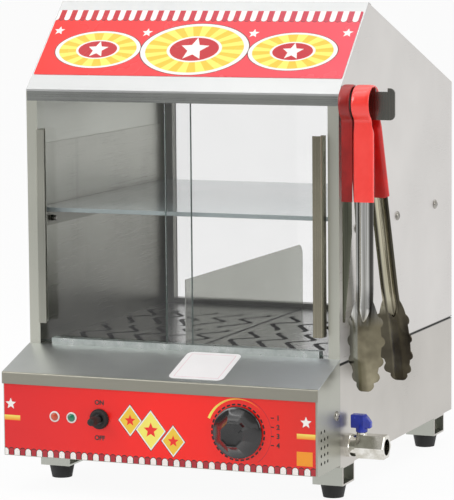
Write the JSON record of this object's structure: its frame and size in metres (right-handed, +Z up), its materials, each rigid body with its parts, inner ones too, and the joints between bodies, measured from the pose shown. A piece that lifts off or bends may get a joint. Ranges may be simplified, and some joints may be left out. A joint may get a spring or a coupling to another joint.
{
  "type": "hot dog steamer",
  "caption": "Counter-top hot dog steamer: gabled stainless cabinet with sliding glass doors, shelf, perforated steam trays over a water pan, control console, drain valve and hanging tongs.",
  "frame": {"origin": "on the floor under the middle of the whole object, consoles, hook and valve included", "axes": "+Z up, -Y towards the front with the console and doors, +X towards the wall with the drain valve and the tong hook"},
  "size_m": [0.461, 0.531, 0.5706],
  "materials": {
    "brushed_stainless": "brushed",
    "bright_stainless": "polished",
    "chromed_brass": "polished",
    "aluminium_strip": "satin",
    "zinc_steel": "satin",
    "clear_glass": "clear",
    "shelf_glass": "clear",
    "black_rubber": "matte",
    "red_vinyl": "gloss",
    "printed_film_red": "satin",
    "label_white": "satin",
    "black_plastic": "satin",
    "blue_plastic": "satin",
    "lamp_amber": "gloss",
    "lamp_green": "gloss",
    "nylon": "satin",
    "element_sheath": "satin",
    "copper": "satin"
  },
  "bodies": {
    "cabinet": {"base_shell": "brushed_stainless", "water_pan": "brushed_stainless", "heating_element": "element_sheath", "element_nuts": "chromed_brass", "foot_brackets": "brushed_stainless", "rubber_feet": "black_rubber", "foot_bolts": "zinc_steel", "side_panel_left": "brushed_stainless", "side_panel_right": "brushed_stainless", "inner_liners": "brushed_stainless", "roof_front_panel": "brushed_stainless", "roof_rear_panel": "brushed_stainless", "sign_overlay": "printed_film_red", "header_rail": "brushed_stainless", "front_sill": "brushed_stainless", "rear_panel": "brushed_stainless", "rear_window_frame": "brushed_stainless", "rear_glass": "clear_glass", "door_track": "aluminium_strip", "shelf_brackets": "brushed_stainless", "dome_screws": "zinc_steel", "shelf_nuts": "zinc_steel", "centre_rail": "brushed_stainless", "console_body": "brushed_stainless", "console_top": "brushed_stainless", "console_label": "label_white", "control_overlay": "printed_film_red", "thermostat_body": "black_plastic", "thermostat_bulb": "copper", "pilot_lamp_amber": "lamp_amber", "pilot_lamp_green": "lamp_green", "switch_body": "black_plastic", "switch_collar": "black_rubber", "cable_gland": "nylon", "drain_pipe": "brushed_stainless", "drain_fitting": "chromed_brass", "valve_body": "chromed_brass", "tong_hook": "brushed_stainless"},
    "left_door": {"door_glass_left": "clear_glass", "door_handle_left": "brushed_stainless"},
    "right_door": {"door_glass_right": "clear_glass", "door_handle_right": "brushed_stainless"},
    "shelf": {"glass_shelf": "shelf_glass"},
    "left_tray": {"steam_tray_left": "brushed_stainless"},
    "right_tray": {"steam_tray_right": "brushed_stainless"},
    "divider": {"divider": "brushed_stainless"},
    "knob": {"thermostat_knob": "black_plastic", "thermostat_shaft": "zinc_steel"},
    "switch_lever": {"switch_lever": "black_rubber"},
    "drain_valve": {"valve_ball": "chromed_brass", "valve_stem": "chromed_brass", "valve_handle": "blue_plastic"},
    "outer_tongs": {"outer_tongs_front_arm": "bright_stainless", "outer_tongs_front_sleeve": "red_vinyl"},
    "outer_tongs_rear": {"outer_tongs_rear_arm": "bright_stainless", "outer_tongs_rear_sleeve": "red_vinyl"},
    "inner_tongs": {"inner_tongs_front_arm": "bright_stainless", "inner_tongs_front_sleeve": "red_vinyl"},
    "inner_tongs_rear": {"inner_tongs_rear_arm": "bright_stainless", "inner_tongs_rear_sleeve": "red_vinyl"}
  },
  "joints": [
    {"name": "left_door_slide", "type": "slide", "parent": "cabinet", "child": "left_door", "axis": [1, 0, 0], "range_m": [0, 0.149]},
    {"name": "right_door_slide", "type": "slide", "parent": "cabinet", "child": "right_door", "axis": [1, 0, 0], "range_m": [-0.149, 0]},
    {"name": "shelf_lift", "type": "slide", "parent": "cabinet", "child": "shelf", "axis": [0, 0, 1], "range_m": [0, 0.06]},
    {"name": "left_tray_lift", "type": "slide", "parent": "cabinet", "child": "left_tray", "axis": [0, 0, 1], "range_m": [0, 0.03]},
    {"name": "right_tray_lift", "type": "slide", "parent": "cabinet", "child": "right_tray", "axis": [0, 0, 1], "range_m": [0, 0.03]},
    {"name": "divider_lift", "type": "slide", "parent": "cabinet", "child": "divider", "axis": [0, 0, 1], "range_m": [0, 0.05]},
    {"name": "knob_turn", "type": "hinge", "parent": "cabinet", "child": "knob", "pos_m": [0.07, -0.23845, 0.088], "axis": [0, 1, 0], "range_deg": [-120, 90]},
    {"name": "switch_toggle", "type": "hinge", "parent": "cabinet", "child": "switch_lever", "pos_m": [-0.1033, -0.23995, 0.0931], "axis": [1, 0, 0], "range_deg": [-10, 10]},
    {"name": "drain_valve_turn", "type": "hinge", "parent": "cabinet", "child": "drain_valve", "pos_m": [0.1832, -0.13755, 0.062], "axis": [0, 0, 1], "range_deg": [0, 90]},
    {"name": "outer_tongs_swing", "type": "hinge", "parent": "cabinet", "child": "outer_tongs", "pos_m": [0.1952, -0.15555, 0.4766], "axis": [1, 0, 0], "range_deg": [-12, 9]},
    {"name": "outer_tongs_squeeze", "type": "hinge", "parent": "outer_tongs", "child": "outer_tongs_rear", "pos_m": [0.1952, -0.15555, 0.4593], "axis": [-1, 0, 0], "range_deg": [0, 16], "stiffness_Nm_per_rad": 0.8},
    {"name": "inner_tongs_swing", "type": "hinge", "parent": "cabinet", "child": "inner_tongs", "pos_m": [0.1756, -0.15555, 0.4766], "axis": [1, 0, 0], "range_deg": [-12, 9]},
    {"name": "inner_tongs_squeeze", "type": "hinge", "parent": "inner_tongs", "child": "inner_tongs_rear", "pos_m": [0.1756, -0.15555, 0.4593], "axis": [-1, 0, 0], "range_deg": [0, 8], "stiffness_Nm_per_rad": 0.5}
  ]
}
